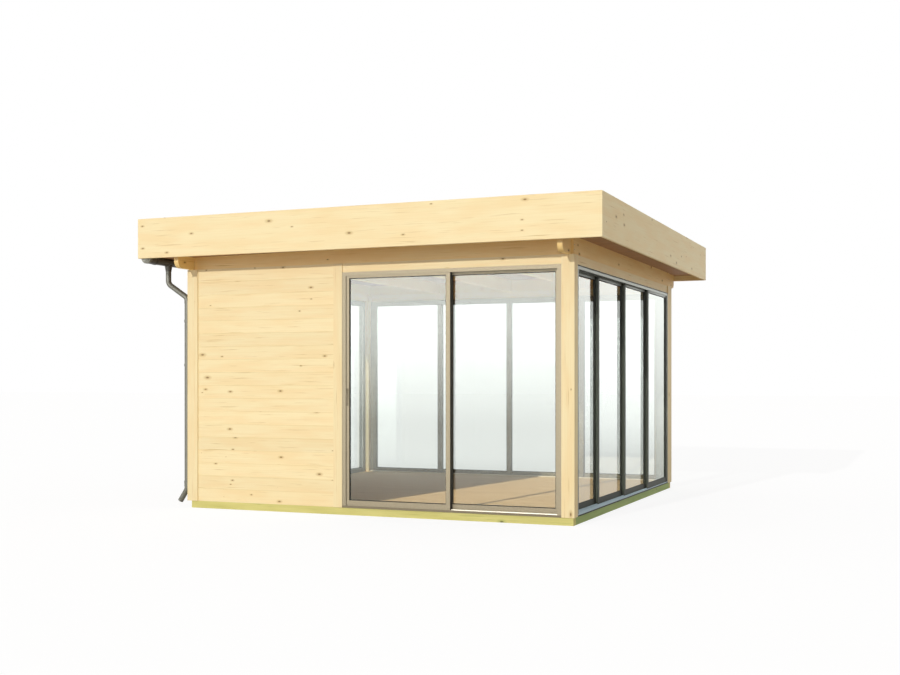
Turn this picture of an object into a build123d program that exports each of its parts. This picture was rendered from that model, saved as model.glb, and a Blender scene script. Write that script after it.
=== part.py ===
"""Square flat-roofed garden cabin with a log corner, sliding glass walls, a deep fascia and a side gutter.

Millimetres, +Z up. The origin is on the ground under the middle of the cabin, the front faces -Y.
"""
import os
from collections import namedtuple

from build123d import *

os.makedirs("parts", exist_ok=True)

# Plan of the walls
wall_length = 3700.0
post_width = 110.0
jamb_post_width = 84.0
rear_post_depth = 181.0
door_length = 1988.0
window_length = 900.0

# Ground frame and floor
bearer_height = 65.0
bearer_width = 70.0
bearer_inset = 12.0
bearer_left_inset = 40.0
joist_width = 45.0
joist_count = 6
floor_thickness = 19.0
floor_gap = 2.0

# Log walls
log_thickness = 44.0
log_height = 118.0
log_setback = 10.0
log_bevel = 2.0

# Heights of the glazed frames and of the timbers above them
frame_height = 2045.0
lintel_height = 77.0
lintel_thickness = 90.0
plate_height = 109.0

# Wall plates, headers and purlins under the roof
plate_thickness = 44.0
plate_inset = 26.0
plate_nose = 243.0
side_board_stop = 60.0
nose_radius = 62.0
purlin_width = 44.0
purlin_count = 3

# Roof
roof_overhang = 315.0
roof_fall = 40.0
deck_thickness = 19.0
membrane_thickness = 3.0
fascia_thickness = 18.0
fascia_height = 358.0
fascia_drop = 21.0
fascia_edge = 2.0

# Gutter and downpipe
gutter_radius = 50.0
gutter_wall = 2.0
gutter_cap = 3.0
gutter_rim_drop = 14.0
gutter_fascia_gap = 1.6
gutter_end_gap = 10.0
gutter_joint = 2.0
drip_reach = 10.0
bracket_count = 7
bracket_end_inset = 120.0
bracket_width = 25.0
bracket_thickness = 3.0
pipe_radius = 25.0
pipe_wall = 2.0
pipe_fit = 0.4
pipe_wall_gap = 8.0
pipe_corner_inset = 45.0
outlet_length = 46.0
pipe_lap = 30.0
offset_drop = 162.0
offset_rise = 136.0
offset_bend_radius = 60.0
shoe_foot = 55.0
shoe_height = 111.0
shoe_throw = 74.0
shoe_bend_radius = 70.0
clip_heights = (231.0, 1313.0, 1720.0)
clip_height = 22.0
clip_band = 3.0
clip_base_width = 30.0

# Sliding system: aluminium frame, tracks and leaves
frame_setback = 3.0
lip_thickness = 3.0
lip_gap = 6.0
door_leaf_depth = 34.0
door_leaf_gap = 8.0
wall_leaf_depth = 22.0
wall_leaf_gap = 6.0
jamb_width = 36.0
jamb_back = 20.0
leaf_end_gap = 6.0
door_stile = 38.0
wall_stile = 46.0
bottom_rail = 50.0
top_rail = 36.0
rib_width = 4.0
rib_gap = 5.0
sill_plate = 8.0
sill_lip = 10.0
sill_rib = 16.0
head_plate = 8.0
head_lip = 25.0
head_rib = 22.0
leaf_foot_gap = 6.0
leaf_top_gap = 8.0
rib_tip_gap = 6.0
running_gap = 0.3
glass_thickness = 6.0
glass_bite = 10.0
glass_fit = 0.2

# Fixed window in the left wall
window_depth = 60.0
window_stile = 52.0
window_foot_rail = 65.0

# Levels and lines that follow from the sizes above
half = wall_length / 2
roof_half = half + roof_overhang
fascia_inner = roof_half - fascia_thickness
frame_foot = bearer_height
head_top = frame_foot + frame_height
plate_foot = head_top + lintel_height
deck_low = plate_foot + plate_height
fascia_foot = deck_low - fascia_drop
log_face = half - log_setback
log_back = log_face - log_thickness
lintel_back = log_face - lintel_thickness


# The front door has sturdy leaves, the glass walls have slim ones on closer tracks
Sliding = namedtuple("Sliding", "tracks leaf_depth leaf_gap stile")
door_system = Sliding(2, door_leaf_depth, door_leaf_gap, door_stile)
wall_system = Sliding(4, wall_leaf_depth, wall_leaf_gap, wall_stile)


def frame_depth(system):
    """Depth of an aluminium frame that holds its leaves behind one another."""
    leaves = system.tracks * system.leaf_depth + (system.tracks - 1) * system.leaf_gap
    return 2 * (lip_thickness + lip_gap) + leaves


door_inner = half - frame_setback - frame_depth(door_system)
glazed_inner = half - frame_setback - frame_depth(wall_system)
post_inner = half - post_width
rear_post_inner = half - rear_post_depth
door_start = post_inner - door_length
window_start = rear_post_inner - window_length


def under_deck(x):
    """Height of the roof deck's underside, which falls to the left, where the gutter is."""
    return deck_low + roof_fall * (x + roof_half) / (2 * roof_half)


def timber(x_span, y_span, z_span):
    """Adds one square-cut timber to the part being built."""
    with BuildSketch(Plane.XY.offset(z_span[0])) as section:
        with Locations((sum(x_span) / 2, sum(y_span) / 2)):
            Rectangle(x_span[1] - x_span[0], y_span[1] - y_span[0])
    extrude(section.sketch, amount=z_span[1] - z_span[0])


def sloped_timber(x_span, y_span, foot):
    """Adds one timber whose top is cut to the slope of the roof deck."""
    with BuildSketch(Plane.XZ.offset(-y_span[1])) as section:
        with BuildLine():
            Polyline(
                (x_span[0], foot),
                (x_span[1], foot),
                (x_span[1], under_deck(x_span[1])),
                (x_span[0], under_deck(x_span[0])),
                close=True,
            )
        make_face()
    extrude(section.sketch, amount=y_span[1] - y_span[0])


def save(name, builder):
    """Labels a finished piece and writes it under its node name."""
    builder.part.label = name
    export_step(builder.part, f"parts/{name}.step")


# Walls in turn round the cabin: middle of the outer face, way in, way along
WALLS = {
    "front": (Vector(0, -half, 0), Vector(0, 1, 0), Vector(1, 0, 0)),
    "right": (Vector(half, 0, 0), Vector(-1, 0, 0), Vector(0, 1, 0)),
    "rear": (Vector(0, half, 0), Vector(0, -1, 0), Vector(-1, 0, 0)),
    "left": (Vector(-half, 0, 0), Vector(1, 0, 0), Vector(0, -1, 0)),
}


def section_plane(wall, along):
    """Plane across a wall: its x is the depth behind the wall's face, its y is the height."""
    middle, inward, way = WALLS[wall]
    return Plane(origin=middle + way * along, x_dir=inward, z_dir=way)


def elevation_plane(wall, depth):
    """Plane along a wall at a depth behind its face: its x runs along the wall, its y is the height."""
    middle, inward, way = WALLS[wall]
    return Plane(origin=middle + inward * depth, x_dir=way, z_dir=inward * -1)


def plan_plane(wall, height):
    """Level plane at a wall: its x runs along the wall, its y is the depth behind the wall's face."""
    middle, _, way = WALLS[wall]
    return Plane(origin=middle + Vector(0, 0, height), x_dir=way, z_dir=(0, 0, 1))


# Ground frame: a bearer under the front and rear walls, joists from one to the other
bearer_line = half - bearer_inset
bearer_back = bearer_line - bearer_width
bearer_left = half - bearer_left_inset
with BuildPart() as cross_bearers:
    for edge in (-1, 1):
        y_span = sorted((edge * bearer_line, edge * bearer_back))
        timber((-bearer_left, bearer_line), y_span, (0, bearer_height))
save("cross_bearers", cross_bearers)

with BuildPart() as side_bearers:
    timber((-bearer_left, -bearer_left + bearer_width), (-bearer_back, bearer_back), (0, bearer_height))
    timber((bearer_back, bearer_line), (-bearer_back, bearer_back), (0, bearer_height))
save("side_bearers", side_bearers)

joist_first = -bearer_left + bearer_width
joist_step = (bearer_back - joist_first) / (joist_count + 1)
with BuildPart() as floor_joists:
    for number in range(joist_count):
        middle = joist_first + joist_step * (number + 1)
        timber(
            (middle - joist_width / 2, middle + joist_width / 2),
            (-bearer_back, bearer_back),
            (0, bearer_height),
        )
save("floor_joists", floor_joists)

# Floor, cut round the posts and the frames that stand on the bearers
left_frame_inner = half - frame_setback - window_depth
with BuildPart() as floor_deck:
    with BuildSketch(Plane.XY.offset(bearer_height)):
        floor_low = floor_gap - log_back
        floor_high = glazed_inner - floor_gap
        with Locations(((floor_low + floor_high) / 2, (floor_low + floor_high) / 2)):
            Rectangle(floor_high - floor_low, floor_high - floor_low)
        cuts = (
            ((-half, -post_inner), (-half, -door_inner)),
            ((door_start - jamb_post_width, half), (-half, -door_inner)),
            ((-half, -post_inner), (window_start - jamb_post_width, window_start)),
            ((-half, -left_frame_inner), (window_start - floor_gap, half)),
            ((-half, -post_inner), (rear_post_inner, half)),
        )
        for x_cut, y_cut in cuts:
            with Locations((sum(x_cut) / 2, sum(y_cut) / 2)):
                Rectangle(
                    x_cut[1] - x_cut[0] + 2 * floor_gap,
                    y_cut[1] - y_cut[0] + 2 * floor_gap,
                    mode=Mode.SUBTRACT,
                )
    extrude(amount=floor_thickness)
save("floor_deck", floor_deck)

# Posts
with BuildPart() as corner_posts:
    for side in (-1, 1):
        x_post = sorted((side * post_inner, side * half))
        timber(x_post, (-half, -door_inner), (bearer_height, plate_foot))
        timber(x_post, (rear_post_inner, half), (bearer_height, plate_foot))
save("corner_posts", corner_posts)

with BuildPart() as jamb_posts:
    rise = (bearer_height, plate_foot)
    timber((door_start - jamb_post_width, door_start), (-half, -door_inner), rise)
    timber((-half, -post_inner), (window_start - jamb_post_width, window_start), rise)
save("jamb_posts", jamb_posts)

# Log walls: one section with a bevelled joint at each course, run from post to post
course_count = round((plate_foot - bearer_height) / log_height)
course = (plate_foot - bearer_height) / course_count


def log_wall(wall, along_span):
    """Adds a wall of stacked logs between two places along a wall."""
    joints = [bearer_height + course * number for number in range(1, course_count)]
    near = log_setback
    far = log_setback + log_thickness
    outline = [(near, bearer_height)]
    for joint in joints:
        outline += [(near, joint - log_bevel), (near + log_bevel, joint), (near, joint + log_bevel)]
    outline += [(near, plate_foot), (far, plate_foot)]
    for joint in reversed(joints):
        outline += [(far, joint + log_bevel), (far - log_bevel, joint), (far, joint - log_bevel)]
    outline += [(far, bearer_height)]
    with BuildSketch(section_plane(wall, along_span[0])) as section:
        with BuildLine():
            Polyline(*outline, close=True)
        make_face()
    extrude(section.sketch, amount=along_span[1] - along_span[0])


with BuildPart() as front_log_wall:
    log_wall("front", (-post_inner, door_start - jamb_post_width))
save("front_log_wall", front_log_wall)

with BuildPart() as left_log_wall:
    log_wall("left", (jamb_post_width - window_start, door_inner))
save("left_log_wall", left_log_wall)

# Lintels over the frames
with BuildPart() as lintels:
    lintel_span = (head_top, plate_foot)
    timber((door_start, post_inner), (-log_face, -lintel_back), lintel_span)
    timber((lintel_back, log_face), (-door_inner, rear_post_inner), lintel_span)
    timber((-post_inner, post_inner), (lintel_back, log_face), lintel_span)
    timber((-log_face, -lintel_back), (window_start, rear_post_inner), lintel_span)
save("lintels", lintels)

# Wall plates over the side walls, with rounded noses at both ends
plate_face = half - plate_inset
plate_back = plate_face - plate_thickness
plate_end = half + plate_nose
with BuildPart() as wall_plates:
    sloped_timber((-plate_face, -plate_back), (-plate_end, plate_end), plate_foot)
    sloped_timber((plate_back, plate_face), (-plate_end, plate_end), plate_foot)
    nose_edges = wall_plates.edges().filter_by(Axis.X).group_by(Axis.Z)[0]
    fillet(nose_edges, radius=nose_radius)
save("wall_plates", wall_plates)

# Headers over the front and rear walls, boards outside the plates, purlins between the headers
with BuildPart() as headers:
    sloped_timber((-plate_back, plate_back), (-log_face, -log_back), plate_foot)
    sloped_timber((-plate_back, plate_back), (log_back, log_face), plate_foot)
save("headers", headers)

with BuildPart() as side_boards:
    for x_span in ((-log_face, -plate_face), (plate_face, log_face)):
        sloped_timber(x_span, (-log_face, log_face - side_board_stop), plate_foot)
save("side_boards", side_boards)

purlin_step = 2 * plate_back / (purlin_count + 1)
with BuildPart() as roof_purlins:
    for number in range(purlin_count):
        middle = purlin_step * (number + 1) - plate_back
        sloped_timber(
            (middle - purlin_width / 2, middle + purlin_width / 2), (-log_back, log_back), plate_foot
        )
save("roof_purlins", roof_purlins)

# Roof deck and membrane, which end over the gutter on the left
strap_inner = gutter_radius + pipe_fit
strap_outer = strap_inner + bracket_thickness
gutter_x = strap_outer + gutter_fascia_gap - fascia_inner
drip_line = gutter_x + drip_reach


def roof_sheet(rise, thickness):
    """Adds one sheet that lies on the slope of the roof."""
    low = under_deck(drip_line) + rise
    high = under_deck(fascia_inner) + rise
    with BuildSketch(Plane.XZ.offset(-fascia_inner)) as section:
        with BuildLine():
            Polyline(
                (drip_line, low),
                (fascia_inner, high),
                (fascia_inner, high + thickness),
                (drip_line, low + thickness),
                close=True,
            )
        make_face()
    extrude(section.sketch, amount=2 * fascia_inner)


with BuildPart() as roof_deck:
    roof_sheet(0, deck_thickness)
save("roof_deck", roof_deck)

with BuildPart() as roof_membrane:
    roof_sheet(deck_thickness, membrane_thickness)
save("roof_membrane", roof_membrane)


# Fascia: four boards mitred at the corners
def fascia_board(wall):
    """Adds the mitred fascia board of one side."""
    outer = half - roof_half
    inner = half - fascia_inner
    with BuildSketch(plan_plane(wall, fascia_foot)) as section:
        with BuildLine():
            Polyline(
                (-roof_half, outer),
                (roof_half, outer),
                (fascia_inner, inner),
                (-fascia_inner, inner),
                close=True,
            )
        make_face()
    extrude(section.sketch, amount=fascia_height)


for node, pair in (("front_rear_fascia", ("front", "rear")), ("side_fascia", ("left", "right"))):
    with BuildPart() as fascia:
        for wall in pair:
            fascia_board(wall)
        long_edges = fascia.edges().filter_by(lambda edge: edge.length > 2 * fascia_inner + fascia_edge)
        chamfer(long_edges, length=fascia_edge)
    save(node, fascia)

# Half-round gutter in two lengths that meet over the middle strap, with end caps and an outlet
gutter_rim = deck_low - gutter_rim_drop
gutter_end = fascia_inner - gutter_end_gap
gutter_inner = gutter_radius - gutter_wall
pipe_y = pipe_corner_inset - half
outlet_bore = pipe_radius + pipe_fit
outlet_radius = outlet_bore + gutter_wall
outlet_foot = gutter_rim - gutter_radius - outlet_length


def half_disc(radius, mode=Mode.ADD):
    """Draws a half disc that hangs from the rim of the gutter in the current sketch."""
    with BuildLine() as outline:
        CenterArc((gutter_x, gutter_rim), radius, 180, 180)
        Line((gutter_x + radius, gutter_rim), (gutter_x - radius, gutter_rim))
    make_face(outline.edges(), mode=mode)


with BuildPart() as gutter:
    with BuildSketch(Plane.XZ.offset(-gutter_end)):
        half_disc(gutter_radius)
    extrude(amount=2 * gutter_end)
    with BuildSketch(Plane.XZ.offset(gutter_cap - gutter_end)):
        half_disc(gutter_inner)
    extrude(amount=2 * (gutter_end - gutter_cap), mode=Mode.SUBTRACT)
    with BuildSketch(Plane.XZ):
        half_disc(gutter_radius)
    extrude(amount=gutter_joint / 2, both=True, mode=Mode.SUBTRACT)
    with BuildSketch(Plane.XY.offset(outlet_foot)):
        with Locations((gutter_x, pipe_y)):
            Circle(outlet_radius)
    extrude(amount=outlet_length + gutter_wall)
    with BuildSketch(Plane.XY.offset(outlet_foot)):
        with Locations((gutter_x, pipe_y)):
            Circle(outlet_bore)
    extrude(amount=gutter_rim - outlet_foot, mode=Mode.SUBTRACT)
save("gutter", gutter)

# Straps that hang the gutter from the roof deck
strap_end = gutter_end - bracket_end_inset
strap_step = 2 * strap_end / (bracket_count - 1)
strap_top = under_deck(gutter_x + strap_inner)
with BuildPart() as gutter_brackets:
    for number in range(bracket_count):
        middle = strap_step * number - strap_end
        with BuildSketch(Plane.XZ.offset(-middle)):
            half_disc(strap_outer)
            with Locations((gutter_x + (strap_inner + strap_outer) / 2, (gutter_rim + strap_top) / 2)):
                Rectangle(bracket_thickness, strap_top - gutter_rim)
            half_disc(strap_inner, mode=Mode.SUBTRACT)
        extrude(amount=bracket_width / 2, both=True)
save("gutter_brackets", gutter_brackets)

# Downpipe: a swan neck from the outlet back to the corner post, and a shoe at its foot
pipe_x = -half - pipe_wall_gap - pipe_radius
neck_top = outlet_foot + pipe_lap
neck_start = gutter_rim - gutter_radius - offset_drop
neck_end = neck_start - offset_rise
shoe_top = shoe_foot + shoe_height
with BuildPart() as downpipe:
    with BuildLine() as pipe_path:
        FilletPolyline(
            (gutter_x, pipe_y, neck_top),
            (gutter_x, pipe_y, neck_start),
            (pipe_x, pipe_y, neck_end),
            (pipe_x, pipe_y, shoe_top),
            (pipe_x - shoe_throw, pipe_y, shoe_foot),
            radius=[offset_bend_radius, offset_bend_radius, shoe_bend_radius],
        )
    with BuildSketch(Plane(origin=pipe_path.line @ 0, z_dir=pipe_path.line % 0)):
        Circle(pipe_radius)
        Circle(pipe_radius - pipe_wall, mode=Mode.SUBTRACT)
    sweep()
save("downpipe", downpipe)

with BuildPart() as pipe_clips:
    for height in clip_heights:
        with BuildSketch(Plane.XY.offset(height - clip_height / 2)):
            with Locations((pipe_x, pipe_y)):
                Circle(pipe_radius + pipe_fit + clip_band)
            with Locations(((pipe_x - half) / 2, pipe_y)):
                Rectangle(-half - pipe_x, clip_base_width)
            with Locations((pipe_x, pipe_y)):
                Circle(pipe_radius + pipe_fit, mode=Mode.SUBTRACT)
        extrude(amount=clip_height)
save("pipe_clips", pipe_clips)

# Sliding frames: a sill with a running rib for each leaf, a head with guide ribs, and two jambs
sill_top = frame_foot + sill_plate
sill_lip_top = sill_top + sill_lip
rib_top = sill_top + sill_rib
head_under = head_top - head_plate
head_lip_foot = head_under - head_lip
head_rib_foot = head_under - head_rib
leaf_foot = sill_top + leaf_foot_gap
leaf_top = head_under - leaf_top_gap
leaf_height = leaf_top - leaf_foot
channel_width = rib_width + 2 * rib_gap


def track_depth(system, track):
    """Depth of a track's middle behind the wall's face, counted from the outermost track."""
    pitch = system.leaf_depth + system.leaf_gap
    return frame_setback + lip_thickness + lip_gap + system.leaf_depth / 2 + pitch * track


def track_plate(wall, along_span, system, plate_span, lip_span, rib_span):
    """Adds a sill or a head: a plate, two lips along its edges and a rib for each track."""
    depth = frame_depth(system)
    edges = (frame_setback + lip_thickness / 2, frame_setback + depth - lip_thickness / 2)
    with BuildSketch(section_plane(wall, along_span[0])) as plate:
        with Locations((frame_setback + depth / 2, sum(plate_span) / 2)):
            Rectangle(depth, plate_span[1] - plate_span[0])
        for edge in edges:
            with Locations((edge, sum(lip_span) / 2)):
                Rectangle(lip_thickness, lip_span[1] - lip_span[0])
    extrude(plate.sketch, amount=along_span[1] - along_span[0])
    with BuildSketch(section_plane(wall, along_span[0] + jamb_back)) as ribs:
        for track in range(system.tracks):
            with Locations((track_depth(system, track), sum(rib_span) / 2)):
                Rectangle(rib_width, rib_span[1] - rib_span[0])
    extrude(ribs.sketch, amount=along_span[1] - along_span[0] - 2 * jamb_back)


def jamb_pair(wall, along_span, system):
    """Adds the two jambs, channels that the end leaves close into."""
    depth = frame_depth(system)
    lip_reach = jamb_width - jamb_back
    with BuildSketch(plan_plane(wall, sill_lip_top)) as channels:
        for end, turn in ((along_span[0], 1), (along_span[1], -1)):
            with Locations((end + turn * jamb_width / 2, frame_setback + depth / 2)):
                Rectangle(jamb_width, depth)
            with Locations((end + turn * (jamb_back + lip_reach / 2), frame_setback + depth / 2)):
                Rectangle(lip_reach, depth - 2 * lip_thickness, mode=Mode.SUBTRACT)
    extrude(channels.sketch, amount=head_lip_foot - sill_lip_top)


def leaf_width(along_span, system):
    """Width of each leaf of a frame, with the stiles of neighbours behind one another."""
    clear = along_span[1] - along_span[0] - 2 * (jamb_back + leaf_end_gap)
    return (clear + (system.tracks - 1) * system.stile) / system.tracks


def leaf_frame(wall, along, width, depth, system):
    """Adds a leaf's frame: a rail and stile ring with a glazing groove and a channel over each rib."""
    middle = (along + width / 2, (leaf_foot + leaf_top) / 2)
    light_height = leaf_height - bottom_rail - top_rail
    light_middle = (along + width / 2, leaf_foot + bottom_rail + light_height / 2)
    light_width = width - 2 * system.stile
    groove = 2 * (glass_bite + glass_fit)
    with BuildSketch(elevation_plane(wall, depth)) as ring:
        with Locations(middle):
            Rectangle(width, leaf_height)
        with Locations(light_middle):
            Rectangle(light_width, light_height, mode=Mode.SUBTRACT)
    extrude(ring.sketch, amount=system.leaf_depth / 2, both=True)
    with BuildSketch(elevation_plane(wall, depth)) as bed:
        with Locations(light_middle):
            Rectangle(light_width + groove, light_height + groove)
    extrude(bed.sketch, amount=glass_thickness / 2 + glass_fit, both=True, mode=Mode.SUBTRACT)
    foot_channel = (leaf_foot, rib_top + running_gap)
    top_channel = (head_rib_foot - rib_tip_gap, leaf_top)
    with BuildSketch(section_plane(wall, along)) as channels:
        for channel in (foot_channel, top_channel):
            with Locations((depth, sum(channel) / 2)):
                Rectangle(channel_width, channel[1] - channel[0])
    extrude(channels.sketch, amount=width, mode=Mode.SUBTRACT)


def leaf_glass(wall, along, width, depth, system):
    """Adds the pane of a leaf, let into the groove of its frame."""
    light_height = leaf_height - bottom_rail - top_rail
    with BuildSketch(elevation_plane(wall, depth)) as pane:
        with Locations((along + width / 2, leaf_foot + bottom_rail + light_height / 2)):
            Rectangle(width - 2 * (system.stile - glass_bite), light_height + 2 * glass_bite)
    extrude(pane.sketch, amount=glass_thickness / 2, both=True)


# Each glazed wall: where its frame runs, how it slides, and the track of each leaf in turn along the wall
glazed_walls = {
    "front": ((door_start, post_inner), door_system, (0, 1)),
    "right": ((-door_inner, rear_post_inner), wall_system, (3, 2, 1, 0)),
    "rear": ((-post_inner, post_inner), wall_system, (0, 1, 2, 3)),
}
sill_spans = ((frame_foot, sill_top), (frame_foot, sill_lip_top), (sill_top, rib_top))
head_spans = ((head_under, head_top), (head_lip_foot, head_top), (head_rib_foot, head_under))
for wall, (frame_span, system, leaf_tracks) in glazed_walls.items():
    with BuildPart() as sill:
        track_plate(wall, frame_span, system, *sill_spans)
    save(f"{wall}_sill_track", sill)
    with BuildPart() as head:
        track_plate(wall, frame_span, system, *head_spans)
    save(f"{wall}_head_track", head)
    with BuildPart() as jambs:
        jamb_pair(wall, frame_span, system)
    save(f"{wall}_frame_jambs", jambs)
    width = leaf_width(frame_span, system)
    for number, track in enumerate(leaf_tracks):
        along = frame_span[0] + jamb_back + leaf_end_gap + number * (width - system.stile)
        depth = track_depth(system, track)
        with BuildPart() as frame:
            leaf_frame(wall, along, width, depth, system)
        save(f"{wall}_leaf_{number + 1}_frame", frame)
        with BuildPart() as glass:
            leaf_glass(wall, along, width, depth, system)
        save(f"{wall}_leaf_{number + 1}_glass", glass)
    print(wall, "leaf width", width, "leaf pitch", width - system.stile)

# Fixed window at the rear end of the left wall
window_middle = -(window_start + rear_post_inner) / 2
window_top_rail = head_top - leaf_top + top_rail
light_height = frame_height - window_foot_rail - window_top_rail
light_level = frame_foot + window_foot_rail + light_height / 2
light_width = window_length - 2 * window_stile
window_plane = elevation_plane("left", frame_setback + window_depth / 2)
with BuildPart() as left_window_frame:
    with BuildSketch(window_plane):
        with Locations((window_middle, frame_foot + frame_height / 2)):
            Rectangle(window_length, frame_height)
        with Locations((window_middle, light_level)):
            Rectangle(light_width, light_height, mode=Mode.SUBTRACT)
    extrude(amount=window_depth / 2, both=True)
    groove = 2 * (glass_bite + glass_fit)
    with BuildSketch(window_plane):
        with Locations((window_middle, light_level)):
            Rectangle(light_width + groove, light_height + groove)
    extrude(amount=glass_thickness / 2 + glass_fit, both=True, mode=Mode.SUBTRACT)
save("left_window_frame", left_window_frame)

with BuildPart() as left_window_glass:
    with BuildSketch(window_plane):
        with Locations((window_middle, light_level)):
            Rectangle(light_width + 2 * glass_bite, light_height + 2 * glass_bite)
    extrude(amount=glass_thickness / 2, both=True)
save("left_window_glass", left_window_glass)
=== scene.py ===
# %% [markdown]
# # A square garden cabin with glass walls
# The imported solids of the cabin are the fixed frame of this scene. They could be drawn again by eye, but
# then nothing would line up with the sliding joints. So they are loaded once, never moved, and everything
# else is modelled on them in metres, with +Z up and the front facing -Y.

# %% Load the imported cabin
import math

import bmesh
import bpy
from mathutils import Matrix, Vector


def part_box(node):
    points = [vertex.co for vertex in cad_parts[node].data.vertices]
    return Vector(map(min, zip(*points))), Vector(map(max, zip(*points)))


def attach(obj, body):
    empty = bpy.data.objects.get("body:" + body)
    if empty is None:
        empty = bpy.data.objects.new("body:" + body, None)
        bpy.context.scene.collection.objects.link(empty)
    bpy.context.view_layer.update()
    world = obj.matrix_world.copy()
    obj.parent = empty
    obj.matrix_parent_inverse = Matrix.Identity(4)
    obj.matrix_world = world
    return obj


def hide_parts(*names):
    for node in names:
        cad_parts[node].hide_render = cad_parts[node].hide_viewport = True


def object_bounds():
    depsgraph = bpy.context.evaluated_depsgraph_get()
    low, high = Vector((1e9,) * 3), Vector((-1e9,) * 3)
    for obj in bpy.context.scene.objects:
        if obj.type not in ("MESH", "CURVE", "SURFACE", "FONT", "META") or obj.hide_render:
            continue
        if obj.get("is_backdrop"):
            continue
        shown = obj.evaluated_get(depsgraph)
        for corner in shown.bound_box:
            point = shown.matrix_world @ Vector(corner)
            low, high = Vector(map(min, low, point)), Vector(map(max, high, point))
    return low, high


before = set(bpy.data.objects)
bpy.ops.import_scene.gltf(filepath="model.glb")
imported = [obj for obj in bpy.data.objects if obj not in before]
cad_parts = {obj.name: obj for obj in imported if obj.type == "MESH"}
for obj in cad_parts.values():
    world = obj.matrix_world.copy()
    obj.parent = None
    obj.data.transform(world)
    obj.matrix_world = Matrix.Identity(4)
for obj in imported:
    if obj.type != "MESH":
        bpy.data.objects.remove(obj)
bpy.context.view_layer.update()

# %% [markdown]
# ## Camera
# The photo is taken from the right of the front, at about eye height, and its horizon lies a little below
# the middle. A tilted camera would do that too, but it would lean the posts. A level camera keeps them
# upright, and a small upward shift of the lens lowers the horizon. The place and the lens come from the
# photo's vanishing points.

# %% Camera
eye = (4.564, -10.997, 1.1735)
level, turned_left = math.radians(90), math.radians(22.53)
bpy.ops.object.camera_add(location=eye, rotation=(level, 0, turned_left))
camera = bpy.context.object
camera.name = "garden_view"
camera.data.lens = 47.33
camera.data.sensor_width = 36
camera.data.shift_y = 0.0473
bpy.context.scene.camera = camera
bpy.context.scene.view_settings.view_transform = "Standard"
print("camera", round(camera.data.lens, 2), "mm at", eye)

# %% [markdown]
# ## Node helper and colours
# Every finish below is a small tree of shader nodes. One helper adds a node, sets its options and either
# links or sets each input, so a tree reads from top to bottom. Colours are written as sRGB hex values, as a
# paint chart gives them, and turned to the linear values that shaders work in.

# %% Node helper and colours
def linear(hex_colour):
    """Linear red, green, blue and alpha of an sRGB hex colour."""
    parts = [int(hex_colour[place:place + 2], 16) / 255 for place in (1, 3, 5)]
    return [p / 12.92 if p <= 0.04045 else ((p + 0.055) / 1.055) ** 2.4 for p in parts] + [1.0]


def add(tree, kind, inputs=None, **options):
    """Adds a node with its options. An input that is given a socket is linked, any other is set."""
    node = tree.nodes.new(kind)
    for option, value in options.items():
        setattr(node, option, value)
    for key, value in (inputs or {}).items():
        if isinstance(value, bpy.types.NodeSocket):
            tree.links.new(value, node.inputs[key])
        else:
            node.inputs[key].default_value = value
    return node


print("mid grey is", round(linear("#808080")[0], 3), "in linear light")

# %% [markdown]
# ## World
# The photo shows the cabin on plain white under a low sun. The world gives an even, slightly warm fill. A
# brighter world would make the background white as well, but it would wash out the timber. So the fill
# stays plain, and the world is white only to the camera, in reflections and through glass.

# %% World
def shown(tree):
    """1 for rays from the camera, from a reflection or through glass, and 0 for rays that gather light."""
    path = add(tree, "ShaderNodeLightPath")
    seen = path.outputs["Is Camera Ray"]
    for kind in ("Is Glossy Ray", "Is Transmission Ray"):
        seen = add(tree, "ShaderNodeMath", {0: seen, 1: path.outputs[kind]}, operation="MAXIMUM").outputs[0]
    return seen


fill_level = 0.545
world = bpy.data.worlds.new("studio")
bpy.context.scene.world = world
world.use_nodes = True
tree = world.node_tree
tree.nodes.clear()
fill = add(tree, "ShaderNodeBackground", {"Color": linear("#FFF9EC"), "Strength": fill_level})
white = add(tree, "ShaderNodeBackground", {"Color": linear("#FFFFFF"), "Strength": 1.0})
sky = add(tree, "ShaderNodeMixShader", {0: shown(tree), 1: fill.outputs[0], 2: white.outputs[0]})
add(tree, "ShaderNodeOutputWorld", {"Surface": sky.outputs[0]})
print("fill", fill_level)

# %% [markdown]
# ## Floor
# The cabin stands on pale paper that runs out to the horizon. A grey sheet would tint the picture, and one
# that glows all over would lose the shadow. So four fifths of what the eye sees of it is an even white, and
# the rest is matt paper, which keeps a faint shadow. To the light it is a warm pale ground.

# %% Floor
white_share, white_glow = 0.8, 1.085
bpy.ops.object.select_all(action="DESELECT")
bpy.ops.mesh.primitive_plane_add(size=160)
floor = bpy.context.object
floor.name = "studio_floor"
floor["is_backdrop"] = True
paper = bpy.data.materials.new("pale_studio_paper")
paper.use_nodes = True
tree = paper.node_tree
tree.nodes.clear()
seen = shown(tree)
share = add(tree, "ShaderNodeMath", {0: seen, 1: white_share}, operation="MULTIPLY")
tone = add(tree, "ShaderNodeMix", {0: seen, 6: linear("#BEB2A0"), 7: linear("#F2F5FF")}, data_type="RGBA")
matt = add(tree, "ShaderNodeBsdfDiffuse", {"Color": tone.outputs[2]})
glow = add(tree, "ShaderNodeEmission", {"Color": linear("#FFFFFF"), "Strength": white_glow})
surface = add(tree, "ShaderNodeMixShader", {0: share.outputs[0], 1: matt.outputs[0], 2: glow.outputs[0]})
add(tree, "ShaderNodeOutputMaterial", {"Surface": surface.outputs[0]})
floor.data.materials.append(paper)
print("floor", floor.dimensions.x, "m")

# %% [markdown]
# ## Low sun
# The front of the cabin is bright, the right side lies in shade, and the sun reaches deep into the room, so
# the sun is low and stands in front, a little to the left. A near lamp would spread its rays. A sun lamp's
# rays are parallel, only its direction counts, and a small angle keeps the shadows crisp.

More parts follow.
